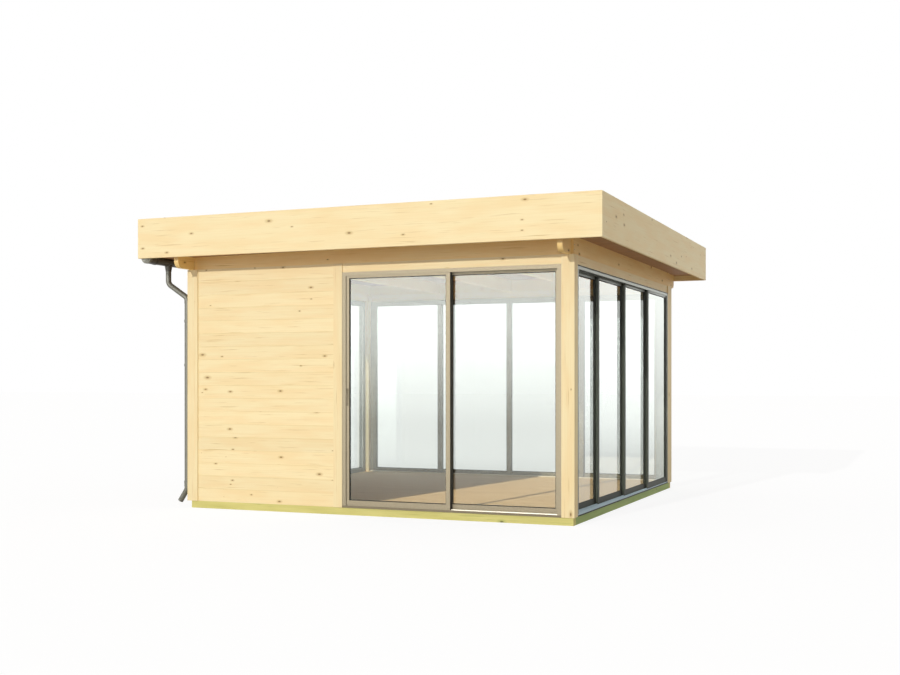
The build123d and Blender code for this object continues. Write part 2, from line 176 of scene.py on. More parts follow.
# %% Low sun
sun_turn, sun_height = math.radians(9), math.radians(18.5)
sun_way = Vector((math.sin(sun_turn), math.cos(sun_turn), -math.tan(sun_height)))
sun_aim = sun_way.to_track_quat("-Z", "Y").to_euler()
bpy.ops.object.light_add(type="SUN", location=(-3, -14, 6), rotation=sun_aim)
sun = bpy.context.object
sun.name = "low_sun"
sun.data.energy = 1.62
sun.data.color = linear("#FFFAF0")[:3]
sun.data.angle = math.radians(0.6)
print("sun", round(sun.data.energy, 2), "at", round(math.degrees(sun_height), 1), "degrees")

# %% [markdown]
# ## Glow of the haze
# In the photo the glass mirrors a bright, hazy sky: what is behind it looks pale near the top and darker
# near the floor. A plain white world gives an even veil instead. So the glass gets its own sky to mirror,
# whose glow grows away from the cabin and with height.

# %% Glow of the haze
off_floor = 0.02


def haze(name, near, far, near_glow, low_glow, high_glow, top):
    """A glow that grows along the floor, from near to far in Y, and then up to a height in metres."""
    material = bpy.data.materials.new(name)
    material.use_nodes = True
    tree = material.node_tree
    tree.nodes.clear()
    place = add(tree, "ShaderNodeTexCoord")
    axes = add(tree, "ShaderNodeSeparateXYZ", {0: place.outputs["Object"]})
    away = add(tree, "ShaderNodeMapRange", {"Value": axes.outputs["Y"], "From Min": near, "From Max": far,
                                            "To Min": near_glow, "To Max": low_glow})
    rise = add(tree, "ShaderNodeMapRange", {"Value": axes.outputs["Z"], "From Min": off_floor,
                                            "From Max": top, "To Min": 0.0,
                                            "To Max": high_glow - low_glow})
    total = add(tree, "ShaderNodeMath", {0: away.outputs[0], 1: rise.outputs[0]}, operation="ADD")
    glow = add(tree, "ShaderNodeEmission", {"Color": linear("#FAFFFA"), "Strength": total.outputs[0]})
    add(tree, "ShaderNodeOutputMaterial", {"Surface": glow.outputs[0]})
    return material


front_sky = haze("hazy_front_sky", -2, -9, 1.0, 3.0, 8.0, 2.5)
rear_sky = haze("hazy_rear_sky", 0, 20, 0.55, 1.3, 2.9, 4.0)
print("haze", front_sky.name, rear_sky.name)

# %% [markdown]
# ## Haze cards
# The glow is carried by cards that turn up like a photographer's sweep: a plane on the floor whose far edge
# is extruded upwards. The camera passes them by and nothing is lit by them, so they show in reflections.
# One lies in front of the cabin and also shows through glass, as white as the world does. A weaker one lies
# behind on the right, for the glass wall there, and shows in reflections alone.

# %% Haze cards
card_height = 7


def sweep(name, centre, size, glow):
    """A card on the floor that turns up at its far edge. The camera and soft light pass it by."""
    bpy.ops.object.select_all(action="DESELECT")
    bpy.ops.mesh.primitive_plane_add(size=1, location=(*centre, off_floor))
    card = bpy.context.object
    card.name = name
    card.scale = (*size, 1)
    bpy.ops.object.transform_apply(location=True, rotation=True, scale=True)
    bpy.ops.object.mode_set(mode="EDIT")
    bpy.ops.mesh.select_mode(type="EDGE")
    bpy.ops.mesh.select_all(action="DESELECT")
    shape = bmesh.from_edit_mesh(card.data)
    for edge in shape.edges:
        if all(abs(corner.co.y) > abs(centre[1]) + 1 for corner in edge.verts):
            edge.select_set(True)
    bmesh.update_edit_mesh(card.data)
    bpy.ops.mesh.extrude_region_move(TRANSFORM_OT_translate={"value": (0, 0, card_height)})
    bpy.ops.object.mode_set(mode="OBJECT")
    card.data.materials.append(glow)
    card.visible_camera = card.visible_diffuse = card.visible_shadow = False
    card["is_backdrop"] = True
    print(name, [round(length, 1) for length in card.dimensions], "m")
    return card


sweep("front_haze", (-6, -11.25), (26, 18.5), front_sky)
rear_card = sweep("rear_haze", (8.5, 9.25), (13, 21.5), rear_sky)
rear_card.visible_transmission = False

# %% [markdown]
# ## Along and across a board
# Grain runs along a board, and a picture of wood would repeat and stretch. So each timber gets coordinates
# along and across it, from its place in the cabin. The sum of two axes serves where a node holds timbers of
# two directions, because one of the two stays the same over each face. A row number, from the board's
# width, moves the pattern from board to board.

# %% Along and across a board
# More than a board's length, so that no two boards show the same stretch of the pattern.
board_spread = 7.3


def board_spot(tree, run, board, start):
    """The place along and across a board, and a chance number of each board. Lengths are in metres."""
    place = add(tree, "ShaderNodeTexCoord")
    axes = add(tree, "ShaderNodeSeparateXYZ", {0: place.outputs["Object"]})
    level = add(tree, "ShaderNodeMath", {0: axes.outputs["X"], 1: axes.outputs["Y"]}, operation="ADD")
    along, across = {
        "wall": (level.outputs[0], axes.outputs["Z"]),
        "deck": (axes.outputs["X"], axes.outputs["Y"]),
        "post": (axes.outputs["Z"], level.outputs[0]),
    }[run]
    begun = add(tree, "ShaderNodeMath", {0: across, 1: start}, operation="SUBTRACT")
    rows = add(tree, "ShaderNodeMath", {0: begun.outputs[0], 1: board}, operation="DIVIDE")
    row = add(tree, "ShaderNodeMath", {0: rows.outputs[0]}, operation="FLOOR")
    chance = add(tree, "ShaderNodeTexWhiteNoise", {"W": row.outputs[0]}, noise_dimensions="1D")
    shift = add(tree, "ShaderNodeMath", {0: chance.outputs["Value"], 1: board_spread, 2: along},
                operation="MULTIPLY_ADD")
    spot = add(tree, "ShaderNodeCombineXYZ", {"X": shift.outputs[0], "Y": across, "Z": 0.0})
    return spot.outputs[0], chance.outputs["Value"]


print("boards are shifted by up to", board_spread, "m")

# %% [markdown]
# ## Knots
# A knot is a branch cut through: a dark heart, drawn out along the grain, in a warmer halo. Dots of noise
# would be ragged. Cells give one clean place each, and a chance number of the cell says whether a knot is
# there and how large it is.

# %% Knots
# One knot at most in each 260 mm of a board 118 mm wide. Its half length is a share of the 260 mm.
knot_span, knot_board, knot_half = 0.26, 0.118, 0.095


def knots_on(tree, spot, knot_share):
    """How much of a knot's heart, and of the halo round it, is at a place."""
    cells = add(tree, "ShaderNodeMapping", {"Vector": spot, "Scale": (1 / knot_span, 1 / knot_board, 1)})
    knots = add(tree, "ShaderNodeTexVoronoi", {"Vector": cells.outputs[0], "Scale": 1.0},
                voronoi_dimensions="2D")
    draw = add(tree, "ShaderNodeSeparateColor", {0: knots.outputs["Color"]})
    size = add(tree, "ShaderNodeMapRange", {"Value": draw.outputs[0], "From Min": 1 - knot_share,
                                            "From Max": 1.0, "To Max": knot_half})
    core = add(tree, "ShaderNodeMath", {0: size.outputs[0], 1: 0.25}, operation="MULTIPLY")
    ring = add(tree, "ShaderNodeMath", {0: size.outputs[0], 1: 2.4}, operation="MULTIPLY")
    distance = knots.outputs["Distance"]
    heart = add(tree, "ShaderNodeMapRange", {"Value": distance, "From Min": size.outputs[0],
                                             "From Max": core.outputs[0]})
    halo = add(tree, "ShaderNodeMapRange", {"Value": distance, "From Min": ring.outputs[0],
                                            "From Max": size.outputs[0], "To Max": 0.5},
               interpolation_type="SMOOTHSTEP")
    return heart.outputs[0], halo.outputs[0]


print("knots up to", round(2000 * knot_half * knot_span), "mm long")

# %% [markdown]
# ## Timber
# Planed spruce is pale, with fine growth lines along the grain, a few honey streaks of heartwood and soft
# patches of paler sapwood. The planer leaves a low sheen that breaks on the lines. One finish with these
# layers serves every timber of the cabin, and only the colours, the width of the boards and the share of
# knots change.

# %% Timber
def timber(name, run, board, palette, knot_share=0.4, start=0.065):
    """A softwood finish. The run is wall, deck or post. The width of a board and its start are in metres."""
    sapwood, heartwood, grain, streak, knot = [linear(colour) for colour in palette]
    material = bpy.data.materials.new(name)
    material.use_nodes = True
    tree = material.node_tree
    shader = tree.nodes["Principled BSDF"]
    spot, chance = board_spot(tree, run, board, start)
    heart, halo = knots_on(tree, spot, knot_share)
    # Growth lines are 2 to 4 mm apart. They are drawn about 9 mm apart, or they would not show from here.
    fine = add(tree, "ShaderNodeMapping", {"Vector": spot, "Scale": (1 / 0.62, 1 / 0.009, 1)})
    lines = add(tree, "ShaderNodeTexNoise", {"Vector": fine.outputs[0], "Scale": 1.0, "Detail": 5.0,
                                             "Roughness": 0.6, "Distortion": 0.4})
    line_share = add(tree, "ShaderNodeMapRange", {"Value": lines.outputs["Fac"], "From Min": 0.42,
                                                  "From Max": 0.75, "To Max": 0.42})
    # Streaks of heartwood and resin, about 13 mm high and up to 0.4 m long.
    broad = add(tree, "ShaderNodeMapping", {"Vector": spot, "Scale": (1 / 0.4, 1 / 0.013, 1)})
    streaks = add(tree, "ShaderNodeTexNoise", {"Vector": broad.outputs[0], "Scale": 1.0, "Detail": 3.0,
                                               "Roughness": 0.5})
    streak_share = add(tree, "ShaderNodeMapRange", {"Value": streaks.outputs["Fac"], "From Min": 0.62,
                                                    "From Max": 0.74, "To Max": 0.7})
    # Soft patches, some paler and some warmer, as long as an arm and as wide as a hand.
    wide = add(tree, "ShaderNodeMapping", {"Vector": spot, "Scale": (1 / 0.55, 1 / 0.1, 1)})
    patches = add(tree, "ShaderNodeTexNoise", {"Vector": wide.outputs[0], "Scale": 1.0, "Detail": 2.0})
    warmth = add(tree, "ShaderNodeMapRange", {"Value": patches.outputs["Fac"], "From Min": 0.4,
                                              "From Max": 0.62})
    tone = add(tree, "ShaderNodeMix", {0: warmth.outputs[0], 6: sapwood, 7: heartwood}, data_type="RGBA")
    for share, colour in ((line_share.outputs[0], grain), (streak_share.outputs[0], streak),
                          (halo, streak), (heart, knot)):
        tone = add(tree, "ShaderNodeMix", {0: share, 6: tone.outputs[2], 7: colour}, data_type="RGBA")
    # Each board is a little lighter or darker than its neighbour.
    lift = add(tree, "ShaderNodeMapRange", {"Value": chance, "To Min": 0.97, "To Max": 1.03})
    board_tone = add(tree, "ShaderNodeHueSaturation", {"Color": tone.outputs[2], "Value": lift.outputs[0]})
    gloss = add(tree, "ShaderNodeMapRange", {"Value": lines.outputs["Fac"], "To Min": 0.55, "To Max": 0.72})
    relief = add(tree, "ShaderNodeBump", {"Strength": 0.25, "Distance": 0.0006,
                                          "Height": lines.outputs["Fac"]})
    tree.links.new(board_tone.outputs[0], shader.inputs["Base Color"])
    tree.links.new(gloss.outputs[0], shader.inputs["Roughness"])
    tree.links.new(relief.outputs[0], shader.inputs["Normal"])
    shader.inputs["IOR"].default_value = 1.45
    return material


print("timber layers: patches, lines, streaks, knots")

# %% [markdown]
# ## Kinds of timber
# A palette is sapwood, heartwood, growth line, streak and knot. The walls, posts and fascia are untreated
# spruce. The timbers under the eave carry painted shade: a more golden copy of the spruce for their shade
# and warm bounce, and a brown one for the boards under the roof. The bearers are pine, greened by its
# treatment, with a greener copy as painted shade for those on the sides and the joists. The floor is planed
# and oiled.
# Painting the parts one by one would drift, so each kind is mixed once and named.

# %% Kinds of timber
# Untreated spruce: pale cream, with honey streaks and small dark knots.
SPRUCE = ("#F8E9BF", "#F6E1B2", "#EED8A2", "#CDAE68", "#7A5520")
# Painted shade: the same spruce, more golden, for the timbers in the eave's shade and warm bounce.
EAVE_PAINTED_SHADE = ("#FDE09C", "#F9D68C", "#F1CF84", "#D6AE5C", "#6B4320")
# Painted shade: the same spruce, brown, for the roof boards lit only from below.
UNDERSIDE_PAINTED_SHADE = ("#B0804C", "#A67642", "#A0713E", "#8A5E30", "#55331A")
# Treated pine in the light: straw with a green cast.
PINE = ("#DAD588", "#CFCA78", "#C0C06C", "#A0A850", "#55552A")
# Painted shade: the same treated pine, darker and plainly green, for the side bearers and joists in shade.
PINE_PAINTED_SHADE = ("#A6BC6C", "#97AE5E", "#88A152", "#6E8A40", "#46491F")
# Oiled boards: a soft tan with a low sheen.
OILED = ("#DEC6A6", "#D7BD9B", "#CDB18D", "#B6986F", "#6B4E30")
# Limed spruce: nearly white, with the grain just showing.
LIMED = ("#FAF4E8", "#F8F0E0", "#F1E8D6", "#DFD1B6", "#94774F")
foot = {node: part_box(node)[0] for node in ("side_fascia", "headers", "roof_deck", "floor_deck")}
spruce_wall = timber("planed_spruce_wall", "wall", 0.118, SPRUCE)
spruce_fascia = timber("planed_spruce_fascia", "wall", 0.36, SPRUCE, 0.26, foot["side_fascia"].z)
# Painted shade: the golden copy goes on the timbers under the eave.
spruce_painted_eave_shade = timber("planed_spruce_painted_eave_shade", "wall", 0.15, EAVE_PAINTED_SHADE, start=foot["headers"].z)
# Painted shade: the brown copy goes on the roof boards.
spruce_deck_painted_shade = timber("planed_spruce_deck_painted_shade", "deck", 0.1193, UNDERSIDE_PAINTED_SHADE, start=foot["roof_deck"].y)
spruce_post = timber("planed_spruce_post", "post", 0.11, SPRUCE, 0.25, 0.0)
treated = timber("sawn_treated_pine", "wall", 0.065, PINE, 0.06, 0.0)
# Painted shade: the greener copy goes on the side bearers and the joists.
treated_side_painted_shade = timber("sawn_treated_pine_side_painted_shade", "wall", 0.065, PINE_PAINTED_SHADE, 0.2, 0.0)
treated_joist_painted_shade = timber("sawn_treated_pine_joist_painted_shade", "deck", 0.09, PINE_PAINTED_SHADE, 0.2)
boarding = timber("oiled_floor_boards", "deck", 0.12554, OILED, 0.2, foot["floor_deck"].y)
limed = timber("limed_spruce_skirting", "wall", 0.118, LIMED, 0.1)
print("timber", spruce_wall.name, treated.name, boarding.name, limed.name)

# %% [markdown]
# ## Coated surfaces
# Metal, paint, rubber and roofing sheet are even surfaces, and one flat colour would make them look like
# plastic film. A real one has a faint mottle in its colour, gloss and relief. One finish with that mottle
# serves them all, with the size of its specks in metres.

# %% Coated surfaces
def coated(name, colour, dark, metallic, roughness, speck, relief_height):
    """A metal, paint, rubber or sheet finish with a faint mottle. Lengths are in metres."""
    material = bpy.data.materials.new(name)
    material.use_nodes = True
    tree = material.node_tree
    shader = tree.nodes["Principled BSDF"]
    place = add(tree, "ShaderNodeTexCoord")
    mottle = add(tree, "ShaderNodeTexNoise", {"Vector": place.outputs["Object"], "Scale": 1 / speck,
                                              "Detail": 4.0, "Roughness": 0.6})
    speckle = mottle.outputs["Fac"]
    share = add(tree, "ShaderNodeMapRange", {"Value": speckle, "From Min": 0.35, "From Max": 0.7})
    tone = add(tree, "ShaderNodeMix", {0: share.outputs[0], 6: linear(colour), 7: linear(dark)},
               data_type="RGBA")
    gloss = add(tree, "ShaderNodeMapRange", {"Value": speckle, "To Min": roughness - 0.06,
                                             "To Max": roughness + 0.06})
    relief = add(tree, "ShaderNodeBump", {"Strength": 0.2, "Distance": relief_height, "Height": speckle})
    tree.links.new(tone.outputs[2], shader.inputs["Base Color"])
    tree.links.new(gloss.outputs[0], shader.inputs["Roughness"])
    tree.links.new(relief.outputs[0], shader.inputs["Normal"])
    shader.inputs["Metallic"].default_value = metallic
    return material


print("helper: coated")

# %% [markdown]
# ## Metals, rubber and roofing
# The sliding frames are extruded aluminium. The front and rear ones read as bronze anodising, the
# right-hand leaves as a dark powder coat in a paler frame. The gutter and pipe are coated steel, the roof
# is a dark sheet, and the seals are rubber. Darker copies on the door's sill and pull and on the gutter are
# painted shade, and a lighter, bluish copy on the right sill is painted light. The specks are drawn far
# coarser than a real coat's, which would not show from here.

# %% Metals, rubber and roofing
# Anodising: a thin tint over satin metal, which gives each profile a soft, broad highlight.
bronze = coated("bronze_anodised_aluminium", "#887D69", "#7F7460", 0.35, 0.5, 0.012, 0.0002)
# Painted shade: a darker copy of the bronze for the door's sill and the recess of the pull.
bronze_painted_shade = coated("bronze_anodised_aluminium_painted_shade", "#685D4A", "#5F5543", 0.35, 0.5, 0.012, 0.0002)
satin = coated("satin_anodised_aluminium", "#80817C", "#767772", 0.4, 0.42, 0.012, 0.0002)
# Painted light: a lighter, bluish copy of the satin aluminium for the right sill and its strips, for the sky
# they catch.
pale = coated("satin_aluminium_painted_sky_light", "#BACFDC", "#AFC4D1", 0.3, 0.42, 0.012, 0.0002)
# Powder coat: hides the metal under a dull dark skin.
anthracite = coated("anthracite_powder_coat", "#36382F", "#2F312A", 0.0, 0.62, 0.006, 0.0002)
# Coated steel: smooth paint, with a narrow highlight down the round of the pipe and the gutter.
zinc = coated("zinc_grey_coated_steel", "#6C6B63", "#62615A", 0.15, 0.45, 0.03, 0.0003)
# Painted shade: a dark brown copy of the coated steel for the gutter and its outlet under the eave.
gutter_steel_painted_shade = coated("coated_steel_painted_shade", "#40382C", "#393227", 0.0, 0.5, 0.02, 0.0002)
# Roofing sheet: rough and dark, so it takes the light evenly.
roofing = coated("dark_roofing_sheet", "#4A4A48", "#3A3A39", 0.0, 0.85, 0.01, 0.0012)
# Rubber: almost black and dull, so it draws thin lines round the glass.
rubber = coated("black_seal_rubber", "#1A1A15", "#141411", 0.0, 0.7, 0.008, 0.0002)
# Polished aluminium and stainless steel: small bright edges and points.
bright = coated("bright_polished_aluminium", "#BDB6A8", "#B3AC9E", 0.3, 0.35, 0.01, 0.0001)
steel = coated("stainless_steel", "#B9B8B4", "#AAA9A4", 1.0, 0.32, 0.004, 0.0001)
print("metals", bronze.name, anthracite.name, zinc.name)

# %% [markdown]
# ## Glass
# The panes are clear float glass, with a mirror-smooth face and a trace of green. As glass alone they would
# block the lamps, and the soft light in the room would come from the white that is meant for the eye. So
# shadow rays and the rays that gather soft light pass straight through, and only what the eye sees is glass.

# %% Glass
float_glass = bpy.data.materials.new("clear_float_glass")
float_glass.use_nodes = True
tree = float_glass.node_tree
tree.nodes.clear()
pane = add(tree, "ShaderNodeBsdfPrincipled", {"Base Color": linear("#E9ECEA"), "Roughness": 0.0, "IOR": 1.5,
                                              "Transmission Weight": 1.0})
through = add(tree, "ShaderNodeBsdfTransparent", {"Color": linear("#F3F7F4")})
path = add(tree, "ShaderNodeLightPath")
soft = add(tree, "ShaderNodeMath", {0: path.outputs["Is Shadow Ray"], 1: path.outputs["Is Diffuse Ray"]},
           operation="MAXIMUM")
lit = add(tree, "ShaderNodeMixShader", {0: soft.outputs[0], 1: pane.outputs[0], 2: through.outputs[0]})
add(tree, "ShaderNodeOutputMaterial", {"Surface": lit.outputs[0]})
print("glass", float_glass.name)

# %% [markdown]
# ## Finishes on the CAD nodes
# A CAD node whose shape is right stays and only takes a finish. Each could be given by hand, but the names
# already say what a node is. So a list of words is read from the top, and the first word in a node's name
# decides.

# %% Finishes on the CAD nodes
NODE_FINISHES = (
    ("glass", float_glass), ("corner_posts", spruce_post), ("jamb_posts", spruce_post),
    # Painted shade: the joists and side bearers take the greener pine copy.
    ("floor_joists", treated_joist_painted_shade), ("side_bearers", treated_side_painted_shade), ("bearers", treated),
    # Painted shade: the roof deck takes the brown copy of the spruce.
    ("floor_deck", boarding), ("roof_deck", spruce_deck_painted_shade), ("roof_membrane", roofing),
    # Painted shade: the golden eave copy on the headers, side boards, wall plates and purlins.
    ("fascia", spruce_fascia), ("headers", spruce_painted_eave_shade), ("side_boards", spruce_painted_eave_shade),
    # Painted shade: the gutter takes the dark brown steel copy.
    ("wall_plates", spruce_painted_eave_shade), ("roof_purlins", spruce_painted_eave_shade), ("gutter", gutter_steel_painted_shade), ("pipe", zinc),
    ("right_leaf", anthracite), ("right_head_track", satin), ("right_frame_jambs", satin),
    # Painted light: the right sill takes the lighter, bluish satin copy.
    # Painted shade: the front sill takes the darker bronze copy.
    ("left_window_frame", satin), ("front_sill_track", bronze_painted_shade), ("right_sill_track", pale),
    ("track", bronze), ("jambs", bronze), ("leaf", bronze),
)


def finish_of(node):
    """The finish of a CAD node. What no word names is the wall's own timber."""
    return next((finish for word, finish in NODE_FINISHES if word in node), spruce_wall)


for node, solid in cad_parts.items():
    solid.data.materials.clear()
    solid.data.materials.append(finish_of(node))
print("finishes on", len(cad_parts), "nodes")

# %% [markdown]
# ## Choosing faces and edges
# The pieces below are shaped in edit mode. An operator acts on all that is selected, and loading leaves the
# solids selected. By hand one clicks on a face. Here everything is deselected first, and a face or edge is
# then found by its middle and the way it looks or runs.

# %% Choosing faces and edges
def nothing():
    """Leaves edit mode, with nothing selected."""
    if bpy.context.object and bpy.context.object.mode == "EDIT":
        bpy.ops.object.mode_set(mode="OBJECT")
    bpy.ops.object.select_all(action="DESELECT")


def only(piece):
    """Leaves one piece selected and active, in object mode."""
    nothing()
    bpy.context.view_layer.objects.active = piece
    piece.select_set(True)


def choose(piece, kind, test):
    """Opens a piece in edit mode with the faces or edges selected whose middle and way pass a test."""
    only(piece)
    bpy.ops.object.mode_set(mode="EDIT")
    bpy.ops.mesh.select_mode(type=kind)
    bpy.ops.mesh.select_all(action="DESELECT")
    shape = bmesh.from_edit_mesh(piece.data)
    if kind == "FACE":
        chosen = [face for face in shape.faces if test(face.calc_center_median(), face.normal)]
    else:
        chosen = []
        for edge in shape.edges:
            start, end = edge.verts[0].co, edge.verts[1].co
            way = Vector(abs(part) for part in (end - start).normalized())
            if test((start + end) / 2, way):
                chosen.append(edge)
    for part in chosen:
        part.select_set(True)
    bmesh.update_edit_mesh(piece.data)


print("helpers: nothing, only, choose")

# %% [markdown]
# ## Bars and modifiers
# Nearly every piece begins as a square or a round bar, with its place in its mesh so that the object itself
# stays at the origin. A modifier could stay live, but an applied one leaves a plain mesh that exports as it
# is seen.

# %% Bars and modifiers
def bar(name, low, high):
    """A square bar between two corners in metres."""
    nothing()
    low, high = Vector(low), Vector(high)
    bpy.ops.mesh.primitive_cube_add(size=1, location=(low + high) / 2)
    piece = bpy.context.object
    piece.name = name
    piece.scale = high - low
    bpy.ops.object.transform_apply(location=True, rotation=True, scale=True)
    return piece


def round_bar(name, place, radius, length, sides, turn=(0, 0, 0)):
    """A round bar with its middle at a place, upright unless it is turned."""
    nothing()
    bpy.ops.mesh.primitive_cylinder_add(vertices=sides, radius=radius, depth=length, location=place,
                                        rotation=turn)
    piece = bpy.context.object
    piece.name = name
    bpy.ops.object.transform_apply(location=True, rotation=True, scale=True)
    return piece


def shaped(piece, kind, **settings):
    """Adds a modifier with its settings and applies it."""
    only(piece)
    modifier = piece.modifiers.new(kind.lower(), kind)
    for setting, value in settings.items():
        setattr(modifier, setting, value)
    bpy.ops.object.modifier_apply(modifier=modifier.name)


def eased(piece, width):
    """Takes the sharpness off all the edges of a piece."""
    shaped(piece, "BEVEL", width=width, segments=2, limit_method="ANGLE")


def repeated(piece, count, step):
    """Sets a piece in a row, as one piece."""
    shaped(piece, "ARRAY", count=count, use_relative_offset=False, use_constant_offset=True,
           constant_offset_displace=step)


def sawn(piece, saw):
    """Cuts away what a second piece takes up, and puts that piece away."""
    shaped(piece, "BOOLEAN", object=saw, operation="DIFFERENCE", solver="EXACT")
    bpy.data.objects.remove(saw)


print("helpers: bar, round_bar, shaped, eased, repeated, sawn")

# %% [markdown]
# ## Copies and dressing
# What repeats is modelled once and copied, each copy with its own mesh, because leaves move apart. Small
# pieces of one kind on one body are joined. A finished piece is dressed: it gets smooth shading on its
# rounds, its finish and the body it moves with, and the CAD node it stands for is hidden.

# %% Copies and dressing
def twin(piece, name, move):
    """A moved copy of a piece with a mesh of its own."""
    only(piece)
    bpy.ops.object.duplicate(linked=False)
    copy = bpy.context.object
    copy.name = name
    bpy.ops.transform.translate(value=move)
    bpy.ops.object.transform_apply(location=True, rotation=False, scale=False)
    return copy


def joined(name, pieces):
    """Makes one piece of several."""
    only(pieces[0])
    for piece in pieces[1:]:
        piece.select_set(True)
    bpy.ops.object.join()
    pieces[0].name = name
    return pieces[0]


def dress(piece, finish, body, node=None):
    """Gives a piece its finish and the body it rides on, and hides the node it stands for."""
    only(piece)
    bpy.ops.object.shade_smooth_by_angle(angle=math.radians(30))
    piece.data.materials.clear()
    piece.data.materials.append(finish)
    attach(piece, body)
    if node:
        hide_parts(node)
    print(piece.name, len(piece.data.polygons), "faces on", body)


print("helpers: twin, joined, dress")

# %% [markdown]
# ## Roof boarding
# The roof deck is laid in boards that run with the fall, and their V joints show from below along the
# eaves. The lines could be painted on one sheet, but they would vanish at the edges. So one board is
# shaped: its lower long edges are bevelled, its right end is lifted by the fall, and an array repeats it
# across the roof.

# %% Roof boarding
deck_low, deck_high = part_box("roof_deck")
deck_board, deck_count, deck_slit = 0.019, 36, 0.0004
deck_rise = deck_high.z - deck_low.z - deck_board
deck_step = (deck_high.y - deck_low.y) / deck_count


def with_fall(piece):
    """Lifts the right end of a piece by the fall of the roof."""
    choose(piece, "FACE", lambda spot, way: way.x > 0.9)
    bpy.ops.transform.translate(value=(0, 0, deck_rise))
    return piece


roof_boards = bar("roof_boards", deck_low,
                  (deck_high.x, deck_low.y + deck_step - deck_slit, deck_low.z + deck_board))
choose(roof_boards, "EDGE", lambda spot, way: way.x > 0.9 and spot.z < deck_low.z + 0.001)
bpy.ops.mesh.bevel(offset=0.005, segments=1)
repeated(with_fall(roof_boards), deck_count, (0, deck_step, 0))
# The boards carry the brown copy of the spruce: painted shade.
dress(roof_boards, spruce_deck_painted_shade, "cabin", "roof_deck")

# %% [markdown]
# ## Floor boarding
# The floor is boards too, planed, with a fine bevel at each joint. They are made like the roof boards, and
# then cut round the posts and the frames with booleans, as a joiner would notch them with a saw.

# %% Floor boarding
floor_low, floor_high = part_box("floor_deck")
plank_count, plank_slit = 28, 0.0006
plank_step = (floor_high.y - floor_low.y) / plank_count
floor_boards = bar("floor_boards", floor_low,
                   (floor_high.x, floor_low.y + plank_step - plank_slit, floor_high.z))
choose(floor_boards, "EDGE", lambda spot, way: way.x > 0.9 and spot.z > floor_high.z - 0.001)
bpy.ops.mesh.bevel(offset=0.0012, segments=1)
repeated(floor_boards, plank_count, (0, plank_step, 0))
notch_foot, notch_top = 0.03, 0.12
notches = {
    "front_left_post": ((-1.9, -1.9), (-1.738, -1.751)),
    "door_frame": ((-0.334, -1.9), (1.9, -1.751)),
    "left_jamb_post": ((-1.9, 0.683), (-1.738, 0.771)),
    "left_window": ((-1.9, 0.765), (-1.785, 1.9)),
    "rear_left_post": ((-1.9, 1.667), (-1.738, 1.9)),
}
for notch, (low, high) in notches.items():
    sawn(floor_boards, bar(notch, (*low, notch_foot), (*high, notch_top)))
dress(floor_boards, boarding, "cabin", "floor_deck")

# %% [markdown]
# ## Skirting
# A low strip of limed spruce covers the joint between the floor and the walls, and where the sun reaches it
# the photo shows a pale line at the foot of the glass. One frame could be swept round the room, but the
# strip stops at the door and the window. So each run is a bar with eased edges, and the runs are joined
# into one piece.

# %% Skirting
skirting_foot, skirting_top = 0.084, 0.096
runs = {
    "rear": ((-1.737, 1.705), (1.72, 1.72)),
    "right": ((1.705, -1.75), (1.72, 1.705)),
    "left": ((-1.7955, -1.75), (-1.7805, 0.682)),
    "front": ((-1.737, -1.7955), (-0.335, -1.7805)),
}
strips = []
for run, (low, high) in runs.items():
    strips.append(bar("skirting_" + run, (*low, skirting_foot), (*high, skirting_top)))
    eased(strips[-1], 0.003)
dress(joined("skirting", strips), limed, "cabin")

# %% [markdown]
# ## Sun in the room
# The patch of sun on the floor is nearly as bright in the photo as the walls are, though such a low sun
# only grazes a floor. A stronger sun would burn out the walls. So a second sun of the same direction is
# linked to the floor alone, and the posts and leaves still throw their shadows in it.

# %% Sun in the room
only(sun)
bpy.ops.object.duplicate(linked=False)
room_sun = bpy.context.object
room_sun.name = "room_sun"
room_sun.data.energy = 6.6
room_sun.data.color = linear("#FFE4C0")[:3]
sunlit = bpy.data.collections.new("sunlit_floor")
sunlit.objects.link(floor_boards)
room_sun.light_linking.receiver_collection = sunlit

# %% [markdown]
# ## Glazing seals
# A black rubber seal holds each pane in its frame, and shows as a thin dark line round the glass. A loop
# could be swept along a path, but a square ring is quicker to shape: the two faces of a flat bar are inset
# and bridged into a hole, and an array sets the same ring on the other side of the pane. The leaves of one
# wall are alike, so their seals are copies, each on its own leaf.

# %% Glazing seals
# A wall, the number of its leaves and the number of the axis through it.
WALLS = (("front", 2, 1), ("right", 4, 0), ("rear", 4, 1))
seal_tuck, seal_thick, seal_width = Vector((0.010, 0.010, 0.010)), 0.004, 0.006


def seal_ring(name, node, depth):
    """A pair of rubber rings round the pane of a node. Depth is the number of the axis through the pane."""
    low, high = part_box(node)
    ring_low, ring_high = low + seal_tuck, high - seal_tuck
    ring_low[depth], ring_high[depth] = low[depth] - seal_thick, low[depth]
    ring = bar(name, ring_low, ring_high)
    choose(ring, "FACE", lambda spot, way: abs(way[depth]) > 0.9)
    bpy.ops.mesh.inset(thickness=seal_width)
    bpy.ops.mesh.bridge_edge_loops()
    step = [0, 0, 0]
    step[depth] = high[depth] - low[depth] + seal_thick
    repeated(ring, 2, step)
    return ring


for wall, count, depth in WALLS:
    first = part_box(f"{wall}_leaf_1_glass")[0]
    rings = [seal_ring(f"{wall}_seal_1", f"{wall}_leaf_1_glass", depth)]
    for number in range(2, count + 1):
        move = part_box(f"{wall}_leaf_{number}_glass")[0] - first
        rings.append(twin(rings[0], f"{wall}_seal_{number}", move))
    for number, ring in enumerate(rings, 1):
        dress(ring, rubber, f"{wall}_leaf_{number}")
dress(seal_ring("left_window_seal", "left_window_glass", 0), rubber, "cabin")

